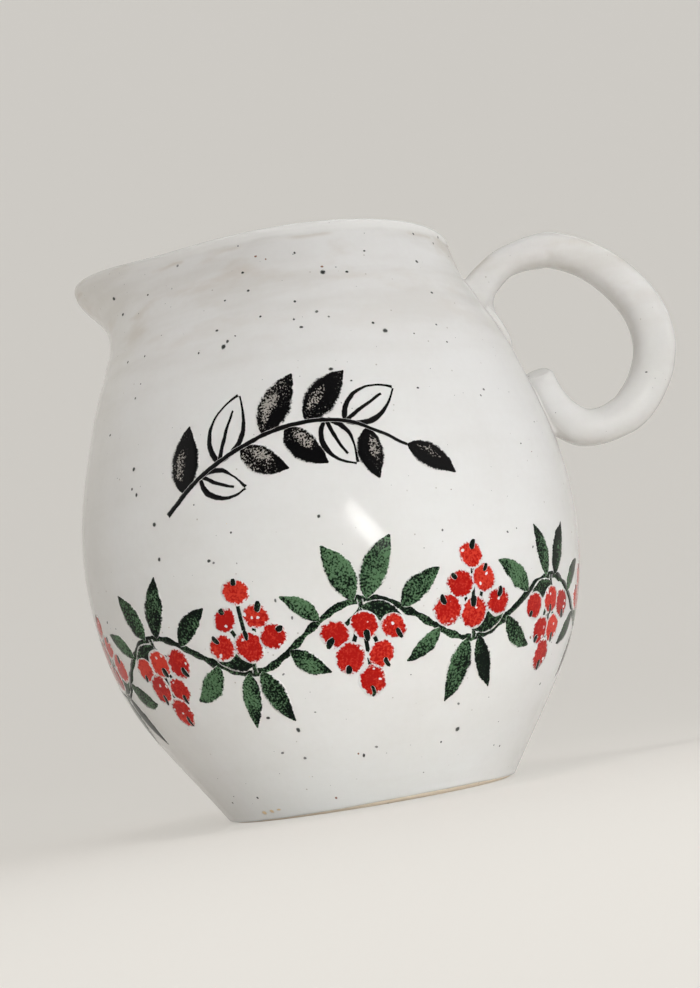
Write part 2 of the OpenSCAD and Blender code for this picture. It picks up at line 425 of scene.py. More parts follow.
def inkFinish():
    material, tree, shader, place = newFinish("inkPaint")
    along, across, tint = strokePlace(tree)
    line = tint.ramp(inkLook["line"] - 0.02, inkLook["line"] + 0.02)
    far = ((along - 0.40) / 0.30) ** 2 + ((across - 0.66) / 0.24) ** 2
    watery = far.ramp(0.0, 1.0, 0.62, 0.0) * line.rest()  # a wetter place on one side of the leaf
    load = patches(tree, place, inkLook) * 1.5 + (tint - 0.5) * 0.9 - watery + 1.04
    layGlaze(tree, shader, place, *washed(tree, place, load, fromLine(across), inkLook), inkLook)
    return material


speckLook = {
    "dark": (0.010, 0.014, 0.012, 1.0),
    "rusty": (0.200, 0.054, 0.007, 1.0),
    "ochre": (0.750, 0.550, 0.310, 1.0),
    "rustyTint": 0.06,      # specks with less tint than this are rusty
    "ochreTint": 0.015,     # and with less than this ochre
    "gloss": 0.2,
}


def speckFinish():
    material, tree, shader, place = newFinish("ironSpeck")
    across, up, tint = strokePlace(tree)
    rust = tint.ramp(speckLook["rustyTint"] - 0.01, speckLook["rustyTint"], 1.0, 0.0)
    ochre = tint.ramp(speckLook["ochreTint"] - 0.005, speckLook["ochreTint"], 1.0, 0.0)
    warm = blend(tree, ochre, speckLook["rusty"], speckLook["ochre"])
    blur = cloud(tree, place, 2400.0, 2.0) * 0.5 - 0.25
    strength = tint * 0.32 + rust * 0.22 + 0.66
    cover = (fromMiddle(across, up) + blur).ramp(0.50, 0.98, 1.0, 0.0) * strength
    layGlaze(tree, shader, place, blend(tree, rust, speckLook["dark"], warm), cover, speckLook)
    return material


clayLook = {
    "light": (0.890, 0.790, 0.650, 1.0),
    "dark": (0.790, 0.665, 0.520, 1.0),
    "grog": (0.330, 0.230, 0.150, 1.0),
    "grainDepth": 0.00012,
}


def clayFinish():
    material, tree, shader, place = newFinish("bareClay")
    sandy = cloud(tree, place, 900.0, 4.0)
    blotch = cloud(tree, place, 120.0, 3.0)
    tone = blend(tree, sandy * 0.6 + blotch.ramp(0.35, 0.7) * 0.4, clayLook["light"], clayLook["dark"])
    grog = spots(tree, place, 700.0, (0.10, 0.20), (0.60, 0.70))
    colour = blend(tree, grog * 0.6, tone, clayLook["grog"])
    coverWith(tree, shader, colour, sandy * 0.2 + 0.72, sandy, clayLook["grainDepth"])
    return material


whiteGlaze = glazeFinish()
print("glaze, paint and clay finishes ready")


# Thrown wall with its drawn beak. Sizes in mm.

wallShape = {
    # height, radius
    "stations": [(0, 31.0), (30, 49.5), (60, 54.3), (90, 48.0), (111, 38.9), (116, 37.6), (120, 36.7)],
    "wall": 4.0,
    "rimThick": 3.4,
    "tipThick": 2.2,
    "floorThick": 5.0,
    "floorFillet": 8.0,
    "spoutBase": 98.0,
    "spoutReach": 10.9,
    "spoutRise": 4.0,
    "spoutEase": 1.6,
    "beakHalfAngle": 58.6,     # degrees
    "beakSharpness": 1.655,
    "riseHalfAngle": 109.0,
    "riseSharpness": 3.0,
    "coat": 0.3,               # glaze over the clay
    "edgeHeight": 0.22,        # lower edge of the glaze
    "edgeBare": 0.62,          # how much higher it is on its bare side
    "edgeHighSide": -62.0,     # degrees round the foot where the edge is highest
    "edgeSharpness": 5.0,
    "edgeWobble": 0.15,
    "edgeScale": 3.2,
    # rolled lower edge of the glaze: how proud of the clay, and how far up
    "bead": [(-0.10, 0.10), (0.06, 0.0), (0.20, 0.05), (0.31, 0.20), (0.36, 0.45), (0.36, 0.80),
             (0.33, 1.20)],
    "footBevel": 0.8,
    "footTop": 2.3,            # where the clay ring of the foot closes
    "footHollow": 0.10,        # flat underside, with faint trimming rings
    "trimDepth": 0.05,
    "trimPitch": 3.4,
    "hiddenHeight": 2.6,       # where the coat closes inside the clay
    "grooveDrop": 2.7,         # faint line under the rounded rim
    "grooveDepth": 0.09,
    "grooveWidth": 0.5,
    "ripple": 0.10,
    "rippleScale": 30.0,       # per metre
    "ringDepth": 0.055,
    "ringPitch": 6.5,
    "ringStart": 78.0,
    "segments": 460,
    "rows": {"outside": 84, "beak": 30, "rim": 16, "channel": 16, "inside": 25, "fillet": 9, "floor": 8},
    "weld": 0.002,
    "seed": 4.0,
}
rimTop = wallShape["stations"][-1][0]
rimMiddle = rimTop - wallShape["rimThick"] / 2
profileMarks = ("spoutShare", "lipShare", "crownShare", "edgeShare", "rimNear")


def clayRadius(height):  # smooth curve through the stations
    z, r = np.array(wallShape["stations"], float).T
    before = np.maximum(np.arange(len(z)) - 1, 0)
    after = np.minimum(np.arange(len(z)) + 1, len(z) - 1)
    slope = (r[after] - r[before]) / (z[after] - z[before])
    i = np.clip(np.searchsorted(z, height) - 1, 0, len(z) - 2)
    span = z[i + 1] - z[i]
    t = (height - z[i]) / span
    return ((1 + 2 * t) * (1 - t) ** 2 * r[i] + t * (1 - t) ** 2 * span * slope[i]
            + t * t * (3 - 2 * t) * r[i + 1] - t * t * (1 - t) * span * slope[i + 1])


def claySlope(height):
    step = 0.05
    return (clayRadius(height + step) - clayRadius(height - step)) / (2 * step)


def coatRadius(height):  # radius of the glazed outside at a height
    return clayRadius(height) + wallShape["coat"] * np.sqrt(1 + claySlope(height) ** 2)


def eased(t):
    t = min(max(t, 0.0), 1.0)
    return t * t * (3 - 2 * t)


def fullTurn(count):  # even angles round a circle
    return np.linspace(0, math.tau, count, endpoint=False)


def through(points, count):  # smooth path through a few points
    p = np.array([points[0], *points, points[-1]], float)
    path = []
    for a, b, c, d in zip(p, p[1:], p[2:], p[3:]):
        for t in np.linspace(0, 1, count, endpoint=False):
            path.append(b + t * (c - a) / 2 + t * t * (a - 2.5 * b + 2 * c - d / 2)
                        + t ** 3 * (1.5 * (b - c) + (d - a) / 2))
    return np.array([*path, p[-1]])


def outsideRow(height, proud):
    lean = claySlope(height)
    size = math.hypot(1, lean)
    return clayRadius(height) + proud / size, height - proud * lean / size


def wallProfile():  # radius, height and the profile marks
    w, count = wallShape, wallShape["rows"]
    hidden = w["hiddenHeight"]
    rows = [(r, hidden, 0, 0, 0, 0) for r in (0, clayRadius(hidden) - 1.2)]
    for proud, up in w["bead"]:
        height = w["edgeHeight"] + up
        rows.append((clayRadius(height) + proud, height, 0, 0, 0, 1))
    for height in np.linspace(w["edgeHeight"] + 1.7, w["spoutBase"], count["outside"], endpoint=False):
        edge = 1 - eased((height - w["edgeHeight"] - 1) / 3)
        rows.append((*outsideRow(height, w["coat"]), 0, 0, 0, edge))
    drawn = rimMiddle - w["spoutBase"]
    for t in np.linspace(0, 1, count["beak"]):
        share = 1 - (1 - t) ** w["spoutEase"]
        height = w["spoutBase"] + share * drawn
        groove = math.exp(-((height - rimTop + w["grooveDrop"]) / w["grooveWidth"]) ** 2)
        r, z = outsideRow(height, w["coat"] - w["grooveDepth"] * groove)
        rows.append((r, z, share, 0, 0, 0))
    middle = clayRadius(rimMiddle) - w["rimThick"] / 2
    bend = w["rimThick"] / 2 + w["coat"]
    for a in np.linspace(0, math.pi, count["rim"])[1:-1]:  # rounded rim
        rows.append((middle + bend * math.cos(a), rimMiddle + bend * math.sin(a),
                     1, (1 - math.cos(a)) / 2, math.sin(a) / 2, 0))
    for share in np.linspace(1, 0, count["channel"]):
        height = w["spoutBase"] + share * drawn
        thick = w["wall"] + share * (w["rimThick"] - w["wall"])
        rows.append((clayRadius(height) - thick - w["coat"], height, share, share, 0, 0))
    floorTurn = w["floorThick"] + w["floorFillet"]
    for height in np.linspace(w["spoutBase"], floorTurn, count["inside"])[1:]:
        rows.append((clayRadius(height) - w["wall"] - w["coat"], height, 0, 0, 0, 0))
    turnRadius = clayRadius(floorTurn) - w["wall"] - w["floorFillet"]
    bend = w["floorFillet"] - w["coat"]
    for a in np.linspace(0, math.pi / 2, count["fillet"])[1:]:
        rows.append((turnRadius + bend * math.cos(a), floorTurn - bend * math.sin(a), 0, 0, 0, 0))
    for r in np.linspace(turnRadius, 0, count["floor"])[1:]:
        rows.append((r, w["floorThick"] + w["coat"], 0, 0, 0, 0))
    rows = np.array(rows, float)
    rimNear = np.maximum(1 - (rimTop - rows[:, 1]) / rimHighlightAndLine["reach"], 0)
    return np.column_stack([rows, rimNear])


def addMarks(mesh, keys, columns):
    for key, values in zip(keys, columns.T):
        mesh.attributes.new(key, "FLOAT", "POINT").data.foreach_set("value", np.ascontiguousarray(values))


def profileMesh(name, rows):
    mesh = bpy.data.meshes.new(name)
    points = [(r * mm, 0, z * mm) for r, z in rows[:, :2]]
    mesh.from_pydata(points, [(i, i + 1) for i in range(len(points) - 1)], [])
    addMarks(mesh, profileMarks, rows[:, 2:])
    return mesh


def throwWallTree():
    tree, given, end = newTree(
        "throwWall", "GeometryNodeTree",
        {"Geometry": ["Profile"], "Int": ["Segments"],
         "Float": ["Spout Reach", "Spout Rise", "Beak Half Angle", "Beak Sharpness", "Rise Half Angle",
                   "Rise Sharpness", "Lip Thinning", "Edge Bare", "Edge High Side", "Edge Sharpness",
                   "Edge Wobble", "Edge Scale", "Foot Slope", "Ripple", "Ripple Scale", "Ring Depth",
                   "Ring Pitch", "Ring Start", "Weld", "Seed"],
         "Material": ["Finish"]},
        {"Geometry": ["Wall"]})
    profile = given["Profile"]
    count = wire(tree, "GeometryNodeAttributeDomainSize", {"Geometry": profile}, "Point Count")
    sheet = wire(tree, "GeometryNodeMeshGrid", {
        "Size X": 1.0, "Size Y": 1.0, "Vertices X": given["Segments"] + 1, "Vertices Y": count}, "Mesh")
    acrossSheet, alongSheet, _ = axes(tree, wire(tree, "GeometryNodeInputPosition"))
    turn = (acrossSheet + 0.5) * math.tau
    index = ((alongSheet + 0.5) * (count - 1)).math("ROUND")

    def fromProfile(value, dataType):
        inputs = {"Geometry": profile, "Value": value, "Index": index}
        return wire(tree, "GeometryNodeSampleIndex", inputs, data_type=dataType, clamp=True)

    radius, _, height = axes(tree, fromProfile(wire(tree, "GeometryNodeInputPosition"), "FLOAT_VECTOR"))
    share, lip, crown, edge, near = [fromProfile(named(tree, key), "FLOAT") for key in profileMarks]

    def fading(half):  # from 1 at the -X direction to 0 at the half angle on both sides of it
        aside = (turn - math.pi).math("ABSOLUTE").math("MINIMUM", half)
        return (((aside * math.pi / half).math("COSINE") + 1) * 0.5).math("MAXIMUM", 0.0)

    # the beak is drawn out over a narrower part of the rim than it rises over
    wide = fading(given["Beak Half Angle"]) ** given["Beak Sharpness"]
    tall = fading(given["Rise Half Angle"]) ** given["Rise Sharpness"]
    lift = ((share * share * math.pi).math("COSINE") * -1 + 1) * 0.5
    radius = radius + wide * (given["Spout Reach"] * lift + given["Lip Thinning"] * lip)
    height = height + tall * given["Spout Rise"] * share - wide * given["Lip Thinning"] * crown

    # lower edge of the glaze: dipped a little askew, with an uneven line
    east = turn.math("COSINE")
    north = turn.math("SINE")
    uneven = cloud(tree, vector(tree, east, north, given["Seed"]), given["Edge Scale"], 4.0) - 0.5
    bareSide = (((turn - given["Edge High Side"]).math("COSINE") + 1) * 0.5) ** given["Edge Sharpness"]
    dip = edge * (bareSide * given["Edge Bare"] + uneven * 2 * given["Edge Wobble"])
    radius = radius + dip * given["Foot Slope"]
    height = height + dip

    # hand-thrown unevenness and the rings left by the fingers
    seeded = vector(tree, radius * east, radius * north, height + given["Seed"])
    swell = cloud(tree, seeded, given["Ripple Scale"], 1.0) - 0.5
    band = (height - given["Ring Start"]).ramp(0.0, 0.02)
    rings = (height * math.tau / given["Ring Pitch"] + turn + swell * 5).math("SINE") * band
    free = radius.ramp(0.002, 0.02) * edge.rest()
    radius = radius + free * (swell * 2 * given["Ripple"] + rings * given["Ring Depth"])

    marked = wire(tree, "GeometryNodeStoreNamedAttribute", {
        "Geometry": sheet, "Name": "rimNear", "Value": near}, data_type="FLOAT")
    thrown = wire(tree, "GeometryNodeSetPosition", {
        "Geometry": marked, "Position": vector(tree, radius * east, radius * north, height)})
    closed = wire(tree, "GeometryNodeMergeByDistance", {"Geometry": thrown, "Distance": given["Weld"]})
    smooth = wire(tree, "GeometryNodeSetShadeSmooth", {"Geometry": closed})
    finished(tree, end, smooth, given["Finish"])
    return tree


def throwWall(name, rows, finish, spout):  # the foot is thrown by the same tree with no spout
    w = wallShape
    values = {
        **{key: w[key] for key in ("segments", "beakSharpness", "riseSharpness", "edgeSharpness",
                                   "edgeScale", "rippleScale", "seed")},
        **{key: w[key] * mm for key in ("edgeBare", "edgeWobble", "ringPitch", "ringStart", "weld")},
        **{key: spout * w[key] * mm for key in ("spoutReach", "spoutRise", "ripple", "ringDepth")},
        **{key: math.radians(w[key]) for key in ("beakHalfAngle", "riseHalfAngle", "edgeHighSide")},
        "lipThinning": (w["rimThick"] - w["tipThick"]) * mm,
        "footSlope": float(claySlope(w["edgeHeight"])),
        "finish": finish,
    }
    return grow(name, profileMesh(name + "Profile", rows), wallTree, values)


def footProfile():  # bare underside with faint trimming rings, and the strip of clay under the glaze
    w = wallShape
    foot, top, hollow = w["stations"][0][1] - w["footBevel"], w["footTop"], w["footHollow"]
    rows = [(0, hollow)]
    for r in np.linspace(0.6, foot - 2.5, 56):
        rows.append((r, hollow + w["trimDepth"] * math.sin(r * math.tau / w["trimPitch"])))
    rows += [(foot - 1.2, 0.02), (foot - 0.5, 0.0), (foot, 0.0), (foot + 0.45, 0.18)]
    rows += [(clayRadius(z), z) for z in (w["footBevel"], 1.1, 1.4, 1.8, top)]
    rows += [(clayRadius(top) - 2, top), (0, top)]
    return np.column_stack([rows, np.zeros((len(rows), len(profileMarks)))])


wallTree = throwWallTree()
glazedWall = throwWall("glazed_wall", wallProfile(), whiteGlaze, 1)
bareFoot = throwWall("bare_foot", footProfile(), clayFinish(), 0)


# Coiled handle. Sizes in mm.

handleShape = {
    # reach from the wall, drop between the joints and thickness, as shares
    "stations": [(-0.27, 0.03, 1.10), (-0.06, -0.10, 0.92), (0.07, -0.18, 0.83), (0.26, -0.28, 0.76),
                 (0.41, -0.32, 0.79), (0.54, -0.33, 0.86), (0.66, -0.32, 0.88), (0.86, -0.21, 0.92),
                 (0.97, -0.01, 1.01), (0.99, 0.23, 1.07), (0.92, 0.49, 1.09), (0.76, 0.73, 1.08),
                 (0.55, 0.92, 1.04), (0.40, 0.99, 0.98), (0.25, 1.02, 0.94), (0.11, 1.00, 0.98),
                 (0.02, 0.91, 0.96), (0.00, 0.80, 0.86), (0.00, 0.70, 0.81), (0.01, 0.60, 0.78)],
    "coil": 8.0,
    "extraWidth": 2.6,
    "reach": 29.4,
    "press": 0.3,
    "upperDrop": 15.5,
    "lowerDrop": 46.5,
    "coat": 0.3,
    "squareness": 2.35,
    "rings": 230,
    "sides": 56,
    "endRound": 1.2,        # edge of the cut end of the coil
    "endSlant": 0.38,       # the end is cut lower at the front
    "slantRings": 16,
    "innerFillet": 3.6,     # the root flows into the wall inside the loop
    "outerFillet": 0.9,     # and meets it in a notch above
    "slipFillet": 1.3,      # clay pressed round the lower end
    "heelFillet": 3.8,
    "rootShare": 0.17,      # the coil is a whole ring from here on
    "slipSides": 96,
    "unevenness": 0.16,
    "swellScale": 105.0,    # per metre
    "fineScale": 300.0,
    "fineShare": 0.35,
    "swellStart": 2.5,      # the swells die out this near to the wall
}

smearShape = {  # slip smeared down the wall under the root
    "middle": 101.0,
    "halfLength": 7.5,
    "halfWidth": 5.2,
    "taper": 0.25,          # narrower downwards
    "height": 2.1,
    "lengthPower": 2.6,
    "widthPower": 2.2,
    "steps": (1.0, 0.995, 0.98, 0.95, 0.9, 0.8, 0.65, 0.45, 0.2),
    "sides": 56,
}


def headings(path):  # unit steps along a path
    ahead = np.gradient(path, axis=0)
    return ahead / np.linalg.norm(ahead, axis=1)[:, None]


def coilCentre():  # evenly spaced x, z, thickness and heading along the coil
    h = handleShape
    stations = []
    for reach, drop, thick in h["stations"]:
        z = rimTop - h["upperDrop"] - drop * (h["lowerDrop"] - h["upperDrop"])
        t = thick * h["coil"]
        stations.append((float(clayRadius(z)) + reach * h["reach"] + t / 2 - h["press"], z, t))
    dense = through(stations, 40)
    run = np.concatenate([[0], np.cumsum(np.hypot(*np.diff(dense[:, :2], axis=0).T))])
    even = np.linspace(0, run[-1], h["rings"])
    line = np.stack([np.interp(even, run, column) for column in dense.T], 1)
    return np.column_stack([line, headings(line[:, :2])]), run[-1] / (h["rings"] - 1)


coil, ringStep = coilCentre()
lastRing = len(coil) - 1
endTurn = handleShape["endRound"] * math.pi / 2 / ringStep  # rings that the rounded end adds


def squared(wave, power):  # a cosine or sine drawn out towards a square
    return np.sign(wave) * np.abs(wave) ** (2 / power)


def coilSurface(ring, angle, swell=1.0):  # angle 0 faces the inside of the loop
    h = handleShape
    x, z, t, ax, az = (np.interp(ring, np.arange(len(coil)), column) for column in coil.T)
    past = np.maximum(np.asarray(ring) - lastRing, 0) / endTurn
    bend = np.minimum(past, 1) * math.pi / 2
    inset = h["endRound"] * (1 - np.cos(bend) + np.maximum(past - 1, 0) * math.pi / 2)
    c, s = squared(np.cos(angle), h["squareness"]), squared(np.sin(angle), h["squareness"])
    u = swell * np.maximum(t / 2 + h["coat"] - inset, 0) * c
    v = swell * np.maximum((t + h["extraWidth"]) / 2 + h["coat"] - inset, 0) * s
    slanted = np.clip((ring - lastRing) / h["slantRings"] + 1, 0, 1) ** 2
    forward = h["endRound"] * np.sin(bend) + h["endSlant"] * slanted * v
    return np.stack([x + u * az + forward * ax, v + 0 * x, z - u * ax + forward * az], -1)


def smearHalf(up):  # half width of the smear; up runs from 1 at its top to -1 at its foot
    return smearShape["halfWidth"] * (1 + smearShape["taper"] * np.clip(up, -1, 0))


def smearRise(y, z):  # how far the smear stands off the wall
    s = smearShape
    up = (z - s["middle"]) / s["halfLength"]
    out = np.abs(up) ** s["lengthPower"] + np.abs(y / smearHalf(up)) ** s["widthPower"]
    return s["height"] * np.maximum(1 - out, 0) ** 0.55


def groundRadius(y, z):
    return coatRadius(z) + smearRise(y, z)


def wallGap(p):  # distance of points outside the glazed wall
    return np.hypot(p[..., 0], p[..., 1]) - groundRadius(p[..., 1], p[..., 2])


def wallNormal(p):
    out = np.array([p[0], p[1], 0]) / math.hypot(p[0], p[1])
    out[2] = -claySlope(p[2])
    return out / np.linalg.norm(out)


def ontoWall(p, sunk):
    r = (groundRadius(p[1], p[2]) - sunk) / math.hypot(p[0], p[1])
    return np.array([p[0] * r, p[1] * r, p[2]])


def spread(corner, inside, size):  # a step along the wall, away from the middle of the coil
    normal = wallNormal(corner)
    away = corner - inside
    away -= normal * (away @ normal)
    return corner + away / np.linalg.norm(away) * size


def bent(a, corner, b, t):
    return (1 - t) ** 2 * a + 2 * t * (1 - t) * corner + t * t * b


def rootRows():  # rings from inside the wall, through the fillet, up to a whole ring of the coil
    h = handleShape
    steps = np.linspace(0, len(coil) * 0.3, 900)  # where each line along the coil comes out of the wall
    whole = int(len(coil) * h["rootShare"])
    columns = []
    for angle in fullTurn(h["sides"]):
        line = coilSurface(steps, np.full_like(steps, angle))
        k = int(np.argmax(wallGap(line) > 0))
        start = steps[k]
        corner = line[k]
        inner = ((1 + math.cos(angle)) / 2) ** 1.5
        size = h["outerFillet"] + (h["innerFillet"] - h["outerFillet"]) * inner
        top = start + size / ringStep
        upper = coilSurface(top, angle)
        foot = spread(corner, coilSurface(start, angle, 0.0), size)
        lower = ontoWall(foot, 0.10)
        column = [ontoWall(foot, 1.2)]
        column += [bent(lower, corner, upper, t) for t in np.linspace(0, 1, 10)]
        column += [coilSurface(s, angle) for s in np.linspace(top, whole, 10)[1:]]
        columns.append(column)
    return np.array(columns).transpose(1, 0, 2), whole


def tailRows(first):  # whole rings, the rounded edge and the flat end
    angles = fullTurn(handleShape["sides"])
    places = [*range(first + 1, lastRing + 1), *(lastRing + endTurn * np.linspace(0, 1, 8)[1:])]
    rows = [coilSurface(np.full_like(angles, place), angles) for place in places]
    rows += [coilSurface(np.full_like(angles, places[-1]), angles, swell) for swell in (0.7, 0.4, 0.15)]
    return np.array(rows)


def slipRing():  # clay pressed round the place where the coil comes back to the wall
    h = handleShape
    rings = np.arange(int(len(coil) * 0.55), len(coil))
    touching = rings[wallGap(coilSurface(rings, np.full(len(rings), math.pi))) < 0]
    centre = touching[len(touching) // 2]
    rows = []
    walk = np.linspace(0, 1, 1200)
    for turn in fullTurn(h["slipSides"]):  # walks out over the coil until it is clear of the wall
        ring = centre + walk * math.cos(turn) * 30 / ringStep
        angle = math.pi + walk * math.sin(turn) * 2.4
        line = coilSurface(ring, angle)
        k = int(np.argmax(wallGap(line) > 0))
        corner = line[k]
        heel = eased(-math.cos(turn))
        uneven = 1 + 0.45 * noise.noise(Vector((2 * math.cos(turn), 2 * math.sin(turn), 7.3)))
        size = uneven * (h["slipFillet"] + (h["heelFillet"] - h["slipFillet"]) * heel)
        far = np.linalg.norm(line - corner, axis=1)
        j = k + int(np.argmax(far[k:] > size))
        lower = ontoWall(spread(corner, coilSurface(ring[k], angle[k], 0.0), size), 0.08)
        section = [ontoWall(corner, 0.9), lower]
        section += [bent(lower, corner, line[j], t) for t in np.linspace(0, 1, 9)[1:]]
        section.append(coilSurface(ring[j], angle[j], 0.97))
        rows.append(section)
    return np.array(rows)


def smearRows():
    s = smearShape
    turns = fullTurn(s["sides"])
    up = squared(np.cos(turns), s["lengthPower"])
    across = squared(np.sin(turns), s["widthPower"])
    half = smearHalf(up)
    rows = []
    for step, sunk in ((1.0, 0.8), *((step, 0.05) for step in s["steps"])):
        y, z = half * across * step, s["middle"] + s["halfLength"] * up * step
        r = groundRadius(y, z) - sunk
        rows.append(np.stack([np.sqrt(r * r - y * y), y, z], 1))
    return np.array(rows)


def skin(mesh, rows, closedRows=False):  # quads between rings, with capped ends unless the rows close
    ringVerts = [[mesh.verts.new(p * mm) for p in row] for row in rows]
    pairs = list(zip(ringVerts, ringVerts[1:]))
    if closedRows:
        pairs.append((ringVerts[-1], ringVerts[0]))
    else:
        mesh.faces.new(list(reversed(ringVerts[0])))
        mesh.faces.new(ringVerts[-1])
    for a, b in pairs:
        for j in range(len(a)):
            k = (j + 1) % len(a)
            mesh.faces.new((a[j], a[k], b[k], b[j]))


def meshFrom(shape, name):
    made = bpy.data.meshes.new(name)
    shape.to_mesh(made)
    shape.free()
    return made


def handleMesh():
    h = handleShape
    mesh = bmesh.new()
    root, whole = rootRows()
    skin(mesh, np.concatenate([root, tailRows(whole)]))
    skin(mesh, slipRing(), closedRows=True)
    skin(mesh, smearRows())
    bmesh.ops.recalc_face_normals(mesh, faces=mesh.faces[:])
    mesh.normal_update()
    moves = []
    for vert in mesh.verts:  # rolled by hand: low swells that die out at the wall
        free = eased(float(wallGap(np.array(vert.co) / mm)) / h["swellStart"])
        swell = noise.noise(vert.co * h["swellScale"])
        swell += h["fineShare"] * noise.noise(vert.co * h["fineScale"])
        moves.append(vert.normal * (swell * free * h["unevenness"] * mm))
    for vert, move in zip(mesh.verts, moves):
        vert.co += move
    for face in mesh.faces:
        face.smooth = True
    made = meshFrom(mesh, "glazed_handle")
    made.materials.append(whiteGlaze)
    return made


glazedHandle = newObject("glazed_handle", handleMesh())
print("made glazed_handle with", len(glazedHandle.data.polygons), "faces")


# Painted decoration, drawn flat and laid on the wall. Sizes in mm, x round the wall and y up it.

paintLayer = {
    "lift": 0.015,          # how far the paint stands proud of the glaze
    "sink": 0.04,
    "overlap": 0.004,       # one stroke's height over another
    "leafSteps": 22,
    "ribSteps": 17,         # the rib of an outlined leaf stops short of its tip
    "weld": 0.000001,       # metres
}
strokeMarks = ("isStamp", "turn", "long", "broad", "tint", "over")


def leftOf(path):
    ahead = headings(path)
    return np.stack([-ahead[:, 1], ahead[:, 0]], 1)


class Drawing:  # brush strokes as faces, and the places of stamps as loose points
    def __init__(self):
        self.points = []
        self.faces = []
        self.strokeUv = []
        self.marks = []

    def stamp(self, x, y, turn, length, breadth, tint, over=0):
        self.points.append((x * mm, y * mm, 0))
        self.marks.append((1.0, turn, length * mm, breadth * mm, tint, over * paintLayer["overlap"] * mm))

    def stroke(self, path, widths, tint, over=0, across=2):
        path = np.array(path, float)
        first = len(self.points)
        for p, side, width in zip(path, leftOf(path), widths):
            for share in np.linspace(-0.5, 0.5, across + 1):
                self.points.append((*((p + side * width * share) * mm), 0))
                self.marks.append((0.0, 0.0, 0.0, 0.0, tint, over * paintLayer["overlap"] * mm))
        for i in range(len(path) - 1):
            for j in range(across):
                a = first + (across + 1) * i + j
                b = a + across + 1
                self.faces.append((a, b, b + 1, a + 1))
                u0, u1 = i / (len(path) - 1), (i + 1) / (len(path) - 1)
                v0, v1 = j / across, (j + 1) / across
                self.strokeUv += [(u0, v0), (u1, v0), (u1, v1), (u0, v1)]

    def leaf(self, foot, turn, length, breadth, bend, tint, over, brush=0):  # brush draws it in outline
        u = np.linspace(0, 1, paintLayer["leafSteps"])
        heading = turn + bend * (u - 0.3)
        steps = np.stack([np.cos(heading), np.sin(heading)], 1) * length / (len(u) - 1)
        path = np.array(foot) + np.cumsum(steps, axis=0) - steps[0]
        widths = np.maximum(breadth * np.sin(math.pi * u ** 0.85) ** 0.8, 0.35)
        if not brush:
            self.stroke(path, widths, tint, over, 6)
            return
        left = leftOf(path)
        for step, side in enumerate((-0.5, 0.5)):
            edge = path + left * (widths * side)[:, None]
            self.stroke(edge, brush * (0.75 + 0.35 * np.sin(u * 5 + step)), tint, over + 0.5 * step)
        rib = paintLayer["ribSteps"]
        self.stroke(path[:rib], np.linspace(brush * 0.9, brush * 0.5, rib), tint, over + 1)

    def mesh(self, name):
        made = bpy.data.meshes.new(name)
        made.from_pydata(self.points, [], self.faces)
        layer = made.uv_layers.new(name="stroke")
        if self.strokeUv:
            layer.data.foreach_set("uv", np.array(self.strokeUv, float).ravel())
        addMarks(made, strokeMarks, np.array(self.marks, float))
        return made


def roundStamp(name, rings, sides):
    mesh = bmesh.new()
    layer = mesh.loops.layers.uv.new("stroke")
    middle = mesh.verts.new((0, 0, 0))
    turns = fullTurn(sides)
    circles = [[mesh.verts.new((r * math.cos(a), r * math.sin(a), 0)) for a in turns]
               for r in np.linspace(0, 1, rings + 1)[1:]]
    for j in range(sides):
        k = (j + 1) % sides
        mesh.faces.new((middle, circles[0][j], circles[0][k]))
        for a, b in zip(circles, circles[1:]):
            mesh.faces.new((a[j], b[j], b[k], a[k]))
    for face in mesh.faces:
        for loop in face.loops:
            loop[layer].uv = (0.5 + loop.vert.co.x / 2, 0.5 + loop.vert.co.y / 2)
    return newObject(name, meshFrom(mesh, name))


def spun(tree, turn):
    return wire(tree, "FunctionNodeEulerToRotation", {"Euler": vector(tree, 0.0, 0.0, turn)})


def flake(tree, laid, thickness):  # a thin closed flake, standing just proud of the glaze
    raised = put(tree, "GeometryNodeExtrudeMesh", {
        "Mesh": laid, "Offset Scale": thickness, "Individual": False})
    smooth = wire(tree, "GeometryNodeSetShadeSmooth", {"Geometry": outputOf(tree, raised, "Mesh")})
    crisp = wire(tree, "GeometryNodeSetShadeSmooth", {
        "Geometry": smooth, "Selection": outputOf(tree, raised, "Side"), "Shade Smooth": False})
    under = wire(tree, "GeometryNodeFlipFaces", {"Mesh": laid})
    return wire(tree, "GeometryNodeMergeByDistance", {
        "Geometry": joined(tree, crisp, under), "Distance": paintLayer["weld"]})


